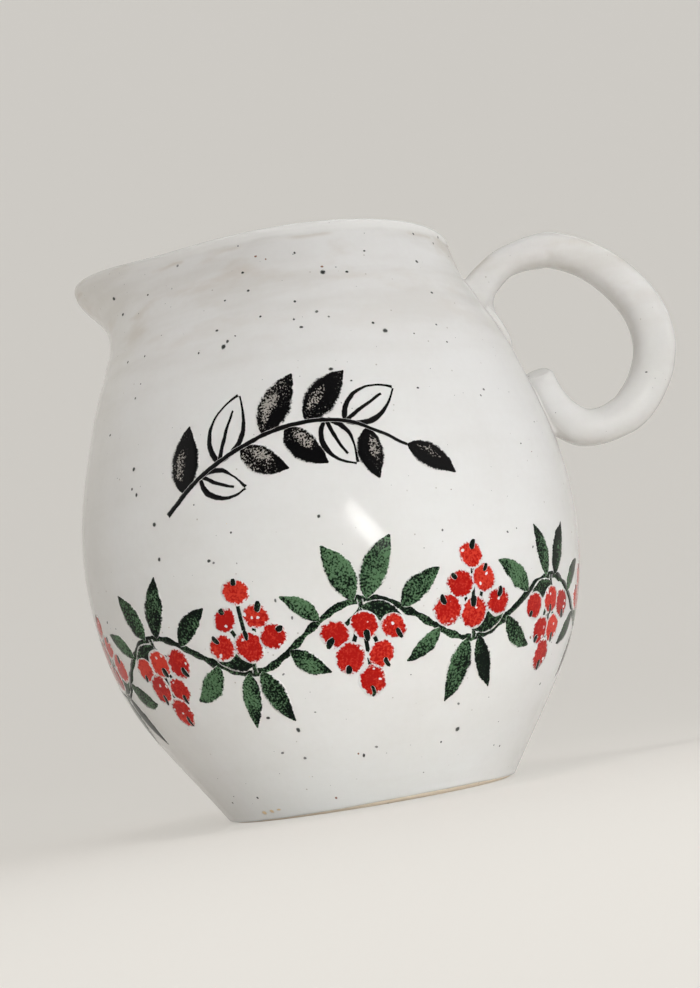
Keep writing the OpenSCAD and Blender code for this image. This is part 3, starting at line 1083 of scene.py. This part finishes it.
def paintOnWallTree():
    tree, given, end = newTree(
        "paintOnWall", "GeometryNodeTree",
        {"Geometry": ["Drawing"], "Object": ["Stamp", "Wall"], "Material": ["Finish"],
         "Float": ["Girth Radius", "Wobble", "Wobble Scale", "Lift", "Sink", "Seed"]},
        {"Geometry": ["Paint"]})
    drawing = given["Drawing"]
    isStamp = named(tree, "isStamp").math("GREATER_THAN", 0.5)
    turned = spun(tree, named(tree, "turn"))
    stamp = shapeOf(tree, given["Stamp"])
    stamped = wire(tree, "GeometryNodeInstanceOnPoints", {
        "Points": drawing, "Selection": isStamp, "Instance": stamp, "Rotation": turned,
        "Scale": vector(tree, named(tree, "long"), named(tree, "broad"), 1.0)})
    strokes = wire(tree, "GeometryNodeDeleteGeometry", {
        "Geometry": drawing, "Selection": isStamp}, domain="POINT")
    flat = joined(tree, wire(tree, "GeometryNodeRealizeInstances", {"Geometry": stamped}), strokes)

    # an unsteady hand: the outline wanders a little
    flatPlace = wire(tree, "GeometryNodeInputPosition")
    seeded = shifted(tree, "ADD", flatPlace, vector(tree, 0.0, 0.0, given["Seed"]))
    wander = axes(tree, cloud(tree, seeded, given["Wobble Scale"], 2.0, "Color"))
    aside = vector(tree, (wander[0] - 0.5) * given["Wobble"], (wander[1] - 0.5) * given["Wobble"], 0.0)
    shaky = wire(tree, "GeometryNodeSetPosition", {"Geometry": flat, "Offset": aside})

    # wrap round the pitcher and drop onto the glaze
    x, y, _ = axes(tree, wire(tree, "GeometryNodeInputPosition"))
    turn = x / given["Girth Radius"]
    east, north = turn.math("SINE"), turn.math("COSINE") * -1
    drop = put(tree, "GeometryNodeRaycast", {
        "Target Geometry": shapeOf(tree, given["Wall"]),
        "Source Position": vector(tree, east * 0.2, north * 0.2, y),
        "Ray Direction": vector(tree, east * -1, north * -1, 0.0), "Ray Length": 0.3})
    inward = shifted(tree, "SCALE", outputOf(tree, drop, "Hit Normal"), given["Sink"] * -1)
    below = shifted(tree, "ADD", outputOf(tree, drop, "Hit Position"), inward)
    laid = wire(tree, "GeometryNodeSetPosition", {"Geometry": shaky, "Position": below})
    thickness = given["Sink"] + given["Lift"] + named(tree, "over")
    finished(tree, end, flake(tree, laid, thickness), given["Finish"])
    return tree


paintTree = paintOnWallTree()


def paint(name, drawing, stamp, finish, girthRadius, hand, seed):  # hand has the wobble of the brush
    return grow(name, drawing.mesh(name + "Drawing"), paintTree, {
        "stamp": stamp, "wall": glazedWall, "finish": finish, "seed": seed, "girthRadius": girthRadius * mm,
        "wobble": hand["wobble"] * mm, "wobbleScale": hand["wobbleScale"],
        "lift": paintLayer["lift"] * mm, "sink": paintLayer["sink"] * mm})


garland = {
    "middle": 35.0,
    "swing": 5.2,
    "waves": 7,
    "phase": 0.9,
    "stemWidth": 1.5,
    "stemSteps": 560,
    "leafLength": 12.0,
    "leafBreadth": 5.4,
    # leaves on the outside of each bulge: place along the vine, lean in radians, size
    "leaves": [(-1.6, -0.34, 1.0), (1.6, 0.34, 1.0), (-8.2, -0.76, 0.84), (8.2, 0.76, 0.84)],
    "berryRadius": 3.0,
    # a hanging bunch, in berry radii: across, and down from its middle
    "bunch": [(-1.85, -0.80), (0.05, -1.10), (1.90, -0.70), (-1.0, 0.80), (0.95, 0.85), (0.0, 2.45)],
    "bayDepth": 8.2,        # from the vine to the middle of a bunch
    "stalkWidth": 0.9,
    "dabLength": 1.7,       # dark touch at the end of each berry
    "dabWidth": 1.25,
    "dabWidths": (0.5, 0.9, 1.0, 1.0, 0.85, 0.5),
    "wobble": 0.8,
    "wobbleScale": 420.0,
    "seed": 11,
}


def garlandVine(x, girth):
    g = garland
    phase = math.tau * g["waves"] * x / girth + g["phase"]
    return g["middle"] + g["swing"] * math.sin(phase)


def drawGarland(girthRadius):
    g = garland
    chance = random.Random(g["seed"])
    girth = math.tau * girthRadius
    wave = girth / g["waves"]
    vine, berries = Drawing(), Drawing()
    run = np.linspace(-girth / 2, girth / 2, g["stemSteps"])
    path = [(x, garlandVine(x, girth)) for x in run]
    widths = [g["stemWidth"] * (1 + 0.3 * math.sin(x * 1.7) * math.sin(x * 0.31)) for x in run]
    vine.stroke(path, widths, 0.75)
    for k in range(2 * g["waves"]):
        x = -girth / 2 + (k + 0.5) * wave / 2 - g["phase"] * girth / (math.tau * g["waves"])
        y = garlandVine(x, girth)
        outside = 1 if y > g["middle"] else -1  # the side that the vine bulges to
        for step, (place, lean, share) in enumerate(g["leaves"]):
            foot = x + place + chance.uniform(-0.5, 0.5)
            turn = outside * (math.pi / 2 - lean) + chance.uniform(-0.12, 0.12)
            size = share * chance.uniform(0.88, 1.08)
            breadth = g["leafBreadth"] * size * chance.uniform(0.85, 1.1)
            bend = -outside * lean * chance.uniform(0.4, 1.4)
            vine.leaf((foot, garlandVine(foot, girth)), turn, g["leafLength"] * size, breadth, bend,
                      chance.uniform(0.1, 1.0), 1 + step * 0.4)
        side = chance.choice((-1, 1))
        vine.leaf((x, y - outside * 1.5), -outside * (math.pi / 2 - side * 1.2), g["leafLength"] * 0.8,
                  g["leafBreadth"] * 0.75, -outside * side * 0.5, chance.uniform(0.2, 0.9), 0.8)
        for step, (across, down) in enumerate(g["bunch"]):
            size = g["berryRadius"] * chance.uniform(0.90, 1.14)
            below = outside * (g["bayDepth"] + down * g["berryRadius"])
            spot = np.array([x + across * g["berryRadius"] + chance.uniform(-0.4, 0.4),
                             y - below + chance.uniform(-0.4, 0.4)])
            berries.stamp(*spot, chance.uniform(-0.9, 0.9), size, size * chance.uniform(0.84, 1.0),
                          chance.random(), 3 + 0.3 * step)
            stalk = through([(x + 0.1 * across, y), (x + 0.35 * across, y - outside * 2.5), spot], 6)
            vine.stroke(stalk, np.full(len(stalk), g["stalkWidth"]), 0.8, 0.3 + 0.05 * step)
            heading = -outside * (math.pi / 2 - 0.35 * across) + chance.uniform(-0.4, 0.4)
            reach = np.array([math.cos(heading), math.sin(heading)])
            bow = np.array([-reach[1], reach[0]]) * chance.uniform(-0.4, 0.4)
            half = g["dabLength"] * chance.uniform(0.7, 1.4) / 2
            touch = [spot + reach * (0.66 * size + half * t) + bow * half * t * t
                     for t in np.linspace(-1, 1, len(g["dabWidths"]))]
            width = g["dabWidth"] * chance.uniform(0.75, 1.25)
            vine.stroke(touch, [width * share for share in g["dabWidths"]], 1.2, 6 + 0.2 * step)
    return vine, berries


sprig = {
    "centre": (-5.0, 71.0),      # degrees from the front, height
    "stem": [(-26, -8), (-15, -0.5), (0, 4.5), (13, 3.8), (24, -2.5)],
    "stemWidth": 1.2,
    "pairs": 5,
    "leafLength": 14.0,
    "leafBreadth": 7.4,
    "brush": 1.15,               # line of the leaves drawn in outline
    "wobble": 0.5,
    "wobbleScale": 420.0,
    "seed": 23,
}


def drawSprig(girthRadius):
    s = sprig
    chance = random.Random(s["seed"])
    drawing = Drawing()
    middle = np.array([math.radians(s["centre"][0]) * girthRadius, s["centre"][1]])
    stem = through(s["stem"], 16) + middle
    ahead = np.gradient(stem, axis=0)
    drawing.stroke(stem, np.linspace(s["stemWidth"], s["stemWidth"] * 0.6, len(stem)), 1.0, 6)
    for k in range(s["pairs"]):
        share = 0.14 + 0.78 * k / s["pairs"]
        for side in (1, -1):
            i = int((share + 0.035 * (1 - side)) * (len(stem) - 1))
            size = (1.05 - 0.45 * abs(share - 0.42)) * chance.uniform(0.92, 1.06) * (0.92 + 0.08 * side)
            turn = math.atan2(*reversed(ahead[i])) + side * chance.uniform(0.74, 0.88) + min(side, 0) * 0.25
            shadedLeaf = (k + (side < 0)) % 3 != 1
            tint, brush = (chance.uniform(0.35, 0.7), 0) if shadedLeaf else (1.0, s["brush"])
            drawing.leaf(stem[i], turn, s["leafLength"] * size, s["leafBreadth"] * size, 0.1 - side * 0.35,
                         tint, 1 + 0.4 * k + 0.2 * side, brush)
    heading = math.atan2(*reversed(ahead[-1]))
    drawing.leaf(stem[-1], heading, s["leafLength"] * 0.8, s["leafBreadth"] * 0.75, -0.3, 0.6, 4)
    return drawing


specks = {
    "density": 13500.0,     # per square metre
    "onHandle": 0.35,       # share of that on the handle
    "smallest": 0.09,
    "largest": 0.55,
    "crowding": 5.0,        # higher has more small ones
    "wallReach": 55.5,      # what is further out is the handle
    "lift": 0.012,
    "wobble": 0.25,
    "wobbleScale": 900.0,
    "seed": 5,
    # bold ones on the front: degrees from the front, height, radius
    "bold": [(12, 108, 0.70), (19, 107.5, 0.38), (21, 95, 0.48), (23.5, 93, 0.64), (8, 86, 0.62),
             (12, 83, 0.36), (-17, 95, 0.72), (-16, 96, 0.52), (-19, 99, 0.45), (-48, 113, 0.34),
             (-10, 106.5, 0.36), (-17, 105.5, 0.28), (-15, 17.5, 0.60), (30, 12.5, 0.55),
             (25, 10.5, 0.32), (0, 57, 0.55), (-37, 55, 0.60), (-37, 62, 0.60), (-43, 74.5, 0.60),
             (-42, 69, 0.55), (-43.5, 70.5, 0.40), (-24.5, 52.5, 0.50), (-18.5, 57, 0.40),
             (-62, 111.5, 0.52), (-64.5, 115.6, 0.50), (-11.5, 111, 0.45), (2.5, 102, 0.40),
             (3, 96, 0.45), (-7, 100, 0.40), (27, 80, 0.32), (40, 90, 0.30), (31, 92, 0.32),
             (39, 94, 0.28), (1, 10.5, 0.45), (-52, 99, 0.44), (-55, 84, 0.40), (-24, 95, 0.36),
             (-43.5, 98.5, 0.34), (1.5, 98, 0.28), (-21.5, 20.8, 0.50), (5, 113.3, 0.36),
             (50, 117, 0.36), (27, 112.3, 0.32), (44, 102, 0.40), (47.5, 7.9, 0.22), (51, 7.4, 0.24)],
    "rusty": [(-11, 2.9, 0.36), (-0.5, 11, 0.30), (28, 67, 0.36), (-7, 114, 0.32), (-4, 113, 0.24)],
    "ochre": [(-42, 1.9, 0.50), (-38, 2.0, 0.44), (-34.5, 2.2, 0.36)],
    # how wide for their height, and the range of their tint
    "kinds": (("bold", 1.0, 0.8, 1.0), ("rusty", 1.0, 0.02, 0.04), ("ochre", 1.7, 0.0, 0.01)),
}


def drawBoldSpecks(girthRadius):
    chance = random.Random(specks["seed"])
    drawing = Drawing()
    for kind, stretch, faint, full in specks["kinds"]:
        for angle, height, radius in specks[kind]:
            wide = stretch * radius * girthRadius / float(coatRadius(height)) * chance.uniform(0.75, 1.15)
            tall = radius * chance.uniform(0.7, 1.0)
            tint = chance.uniform(faint, full)
            drawing.stamp(math.radians(angle) * girthRadius, height, 0, wide, tall, tint)
    return drawing


def scatterSpecksTree():
    tree, given, end = newTree(
        "scatterSpecks", "GeometryNodeTree",
        {"Geometry": ["Seed Mesh"], "Object": ["Wall", "Handle", "Speck"], "Int": ["Seed"],
         "Float": ["Density", "On Handle", "Wall Reach", "Smallest", "Largest", "Crowding", "Lift", "Sink"],
         "Material": ["Finish"]},
        {"Geometry": ["Specks"]})
    carriers = joined(tree, *[shapeOf(tree, given[key]) for key in ("Wall", "Handle")])
    facing = axes(tree, wire(tree, "GeometryNodeInputNormal", output="Normal"))[2]
    x, y, z = axes(tree, wire(tree, "GeometryNodeInputPosition"))
    # not on the foot's edge or the disc that closes the coat
    shown = facing.math("GREATER_THAN", -0.8) * z.math("GREATER_THAN", 0.002)
    outside = (x * x + y * y).math("SQRT").math("GREATER_THAN", given["Wall Reach"])
    density = given["Density"] * (outside * (given["On Handle"] - 1) + 1)
    points = put(tree, "GeometryNodeDistributePointsOnFaces", {
        "Mesh": carriers, "Selection": shown, "Density": density, "Seed": given["Seed"]})

    def chance(low, high, step):
        return wire(tree, "FunctionNodeRandomValue", {
            "Min": low, "Max": high, "Seed": given["Seed"] + step})

    largest, smallest = given["Largest"], given["Smallest"]
    size = chance(0.0, 1.0, 1) ** given["Crowding"] * (largest - smallest) + smallest
    spin = spun(tree, chance(0.0, math.tau, 2))
    turned = wire(tree, "FunctionNodeRotateRotation", {
        "Rotation": outputOf(tree, points, "Rotation"), "Rotate By": spin}, rotation_space="LOCAL")
    tinted = wire(tree, "GeometryNodeStoreNamedAttribute", {
        "Geometry": outputOf(tree, points, "Points"), "Name": "tint", "Value": chance(0.0, 1.0, 3),
    }, data_type="FLOAT")
    placed = wire(tree, "GeometryNodeInstanceOnPoints", {
        "Points": tinted, "Instance": shapeOf(tree, given["Speck"]), "Rotation": turned,
        "Scale": vector(tree, size, size * chance(0.6, 1.0, 4), 1.0)})
    flat = wire(tree, "GeometryNodeRealizeInstances", {"Geometry": placed})
    out = wire(tree, "GeometryNodeInputNormal", output="Normal")
    sunk = wire(tree, "GeometryNodeSetPosition", {
        "Geometry": flat, "Offset": shifted(tree, "SCALE", out, given["Sink"] * -1)})
    finished(tree, end, flake(tree, sunk, given["Sink"] + given["Lift"]), given["Finish"])
    return tree


bandRadius = float(coatRadius(garland["middle"]))
sprigRadius = float(coatRadius(sprig["centre"][1]))
berry = roundStamp("berry", 5, 24)
speckDot = roundStamp("speckDot", 2, 9)
vineDrawing, berryDrawing = drawGarland(bandRadius)
speckPaint = speckFinish()
garlandVinePiece = paint("garland_vine", vineDrawing, berry, leafFinish(), bandRadius, garland, 1.0)
garlandBerries = paint("garland_berries", berryDrawing, berry, berryFinish(), bandRadius, garland, 2.0)
inkSprig = paint("ink_sprig", drawSprig(sprigRadius), berry, inkFinish(), sprigRadius, sprig, 3.0)
boldSpecks = paint("bold_specks", drawBoldSpecks(sprigRadius), speckDot, speckPaint, sprigRadius,
                   specks, 4.0)
glazeSpecks = grow("glaze_specks", bpy.data.meshes.new("speckSeed"), scatterSpecksTree(), {
    **{key: specks[key] for key in ("density", "onHandle", "crowding", "seed")},
    **{key: specks[key] * mm for key in ("wallReach", "smallest", "largest", "lift")},
    "sink": paintLayer["sink"] * mm, "wall": glazedWall, "handle": glazedHandle, "speck": speckDot,
    "finish": speckPaint})
for stamp in (berry, speckDot):
    bpy.data.objects.remove(stamp)


# Pieces on the frame

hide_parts("body_glaze", "liner_glaze", "spout_glaze", "spout_lip")
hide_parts("thrown_body")
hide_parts("handle_loop", "handle_glaze", "upper_joint", "lower_joint")
pieceSlots = (
    (glazedWall, "glaze"), (bareFoot, "stoneware"), (glazedHandle, "glaze"), (garlandVinePiece, "glaze"),
    (garlandBerries, "glaze"), (inkSprig, "glaze"), (boldSpecks, "glaze"), (glazeSpecks, "glaze"))
for piece, slotName in pieceSlots:
    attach(piece, bodyName)
print("pieces ride on", bodyName)


# Studio: pale floor running up into a backdrop, soft light, camera

studio = {
    "floor": (0.840, 0.815, 0.778, 1.0),
    "coveStart": 1.2,
    "coveRadius": 2.2,
    "width": 12.0,
    "front": -4.0,
    "top": 5.0,
    "brightAzimuth": 66,    # degrees from the front towards the handle
    "brightElevation": -52,
    "bright": (1.15, 1.20, 1.26, 1.0),
    "dim": (0.48, 0.46, 0.43, 1.0),
    "quietAzimuth": -10,    # the dark side of the room, behind the camera
    "quietElevation": 22,
    "quietRange": (0.62, 0.97),
    "quietShare": 0.8,
    "floorRoughness": 0.9,
    "floorGloss": 0.1,
    # what the camera and reflections see: of the floor, mixed in by the share, and beyond it
    "glow": (0.84, 0.81, 0.755, 1.0),
    "glowShare": 0.5,
    "around": (0.62, 0.60, 0.565, 1.0),
}


def seenRays(tree):  # 1 for what the camera sees directly or in a reflection
    rays = put(tree, "ShaderNodeLightPath")
    seen = outputOf(tree, rays, "Is Camera Ray") + outputOf(tree, rays, "Is Glossy Ray")
    return (seen + outputOf(tree, rays, "Is Transmission Ray")).math("MINIMUM", 1.0)


def layFloor():
    s = studio
    side = [(s["front"], 0.0), (s["coveStart"], 0.0)]
    for a in np.linspace(0, math.pi / 2, 33)[1:]:
        side.append((s["coveStart"] + s["coveRadius"] * math.sin(a), s["coveRadius"] * (1 - math.cos(a))))
    side.append((side[-1][0], s["top"]))
    points = [(x * s["width"] / 2, y, z) for y, z in side for x in (-1, 1)]
    mesh = bpy.data.meshes.new("paleFloor")
    mesh.from_pydata(points, [], [(2 * i, 2 * i + 1, 2 * i + 3, 2 * i + 2) for i in range(len(side) - 1)])
    for face in mesh.polygons:
        face.use_smooth = True
    floor = newObject("paleFloor", mesh)
    material, tree, shader, _ = newFinish("paleFloor")
    shader.inputs["Base Color"].default_value = s["floor"]
    shader.inputs["Roughness"].default_value = s["floorRoughness"]
    shader.inputs["Specular IOR Level"].default_value = s["floorGloss"]
    glow = put(tree, "ShaderNodeEmission", {"Color": s["glow"], "Strength": 1.0})
    mixed = put(tree, "ShaderNodeMixShader", {"Fac": seenRays(tree) * s["glowShare"]})
    tree.links.new(shader.outputs[0], mixed.inputs[1])
    tree.links.new(glow.outputs[0], mixed.inputs[2])
    surface = next(n for n in tree.nodes if n.type == "OUTPUT_MATERIAL").inputs["Surface"]
    tree.links.new(mixed.outputs[0], surface)
    mesh.materials.append(material)


def towards(azimuth, elevation):  # azimuth is from the front towards the handle side, in degrees
    a, e = math.radians(azimuth), math.radians(elevation)
    return Vector((math.sin(a) * math.cos(e), -math.cos(a) * math.cos(e), math.sin(e)))


def setWorld():  # soft daylight, brighter on one side
    world = bpy.data.worlds.new("studioWorld")
    world.use_nodes = True
    tree = world.node_tree
    direction = wire(tree, "ShaderNodeTexCoord", output="Generated")

    def nearness(side):
        facing = put(tree, "ShaderNodeVectorMath", operation="DOT_PRODUCT")
        feed(tree, facing.inputs[0], direction)
        facing.inputs[1].default_value = towards(studio[side + "Azimuth"], studio[side + "Elevation"])
        return outputOf(tree, facing, "Value")

    light = blend(tree, nearness("bright").ramp(-1.0, 1.0), studio["dim"], studio["bright"])
    background = next(n for n in tree.nodes if n.type == "BACKGROUND")
    feed(tree, background.inputs["Color"], blend(tree, seenRays(tree), light, studio["around"]))
    unseen = wire(tree, "ShaderNodeLightPath", output="Is Camera Ray") - 1  # -1, or 0 for the camera
    quiet = nearness("quiet").ramp(*studio["quietRange"]) * unseen * studio["quietShare"]
    feed(tree, background.inputs["Strength"], quiet + 1)
    scene.world = world


# azimuth, elevation, roll and spread in degrees, distance, size and aim in metres
plainLamp = {"colour": (1.0, 0.99, 0.97), "roll": 0, "mirrored": False}
lamps = {
    "window": {"azimuth": 19, "elevation": 1, "distance": 0.5, "size": (0.20, 0.062), "watts": 0.042,
               "aim": (0.009, -0.054, 0.053), "roll": -40, "spread": 70, "mirrored": True},
    "frontFill": {"azimuth": 12, "elevation": 4, "distance": 1.4, "size": (0.3, 0.1), "watts": 0.093,
                  "aim": (0.032, 0.0, -0.014), "spread": 15, "colour": (0.96, 0.99, 1.0)},
    "floorFill": {"azimuth": 0, "elevation": 90, "distance": 0.9, "size": (0.3, 0.2), "watts": 0.18,
                  "aim": (0.06, -0.22, 0.0), "spread": 40},
    "beakFill": {"azimuth": -97, "elevation": -8, "distance": 0.5, "size": (0.06, 0.06), "watts": 0.0028,
                 "aim": (-0.047, -0.012, 0.104), "spread": 11},
    "handleFill": {"azimuth": 6, "elevation": -6, "distance": 0.6, "size": (0.06, 0.04), "watts": 0.0023,
                   "aim": (0.070, 0.0, 0.118), "spread": 9},
}


def hang(name, look):
    toward = towards(look["azimuth"], look["elevation"])
    light = bpy.data.lights.new(name, "AREA")
    light.shape = "RECTANGLE"
    light.size, light.size_y = look["size"]
    light.energy = look["watts"]
    light.color = look["colour"]
    light.spread = math.radians(look["spread"])
    lamp = newObject(name, light)
    lamp.visible_camera = False
    lamp.visible_glossy = look["mirrored"]
    lamp.matrix_world = (Matrix.Translation(Vector(look["aim"]) + toward * look["distance"])
                         @ toward.to_track_quat("Z", "Y").to_matrix().to_4x4()
                         @ Matrix.Rotation(math.radians(look["roll"]), 4, "Z"))


view = {
    "place": (9.7, -377.9, 19.6),   # mm
    "pitch": 7.16,
    "yaw": -0.55,
    "roll": 9.46,
    "focalPixels": 1700,
    "imageHeight": 988,
    "sensor": 36.0,
}


def setCamera():
    v = view
    pitch, yaw, roll = (math.radians(v[key]) for key in ("pitch", "yaw", "roll"))
    ahead = Vector((math.sin(yaw) * math.cos(pitch), math.cos(yaw) * math.cos(pitch), math.sin(pitch)))
    right = Vector((math.cos(yaw), -math.sin(yaw), 0))
    down = ahead.cross(right)
    tiltedRight = right * math.cos(roll) + down * math.sin(roll)
    tiltedDown = down * math.cos(roll) - right * math.sin(roll)
    lens = bpy.data.cameras.new("photoView")
    lens.sensor_fit = "VERTICAL"
    lens.sensor_height = lens.sensor_width = v["sensor"]
    lens.lens = v["focalPixels"] / v["imageHeight"] * v["sensor"]
    lens.clip_start = 0.01
    camera = newObject("photoView", lens)
    turned = Matrix((tiltedRight, -tiltedDown, -ahead)).transposed().to_4x4()
    camera.matrix_world = Matrix.Translation(Vector(v["place"]) * mm) @ turned
    scene.camera = camera


layFloor()
setWorld()
for name, look in lamps.items():
    hang(name, {**plainLamp, **look})
setCamera()
print("studio set")
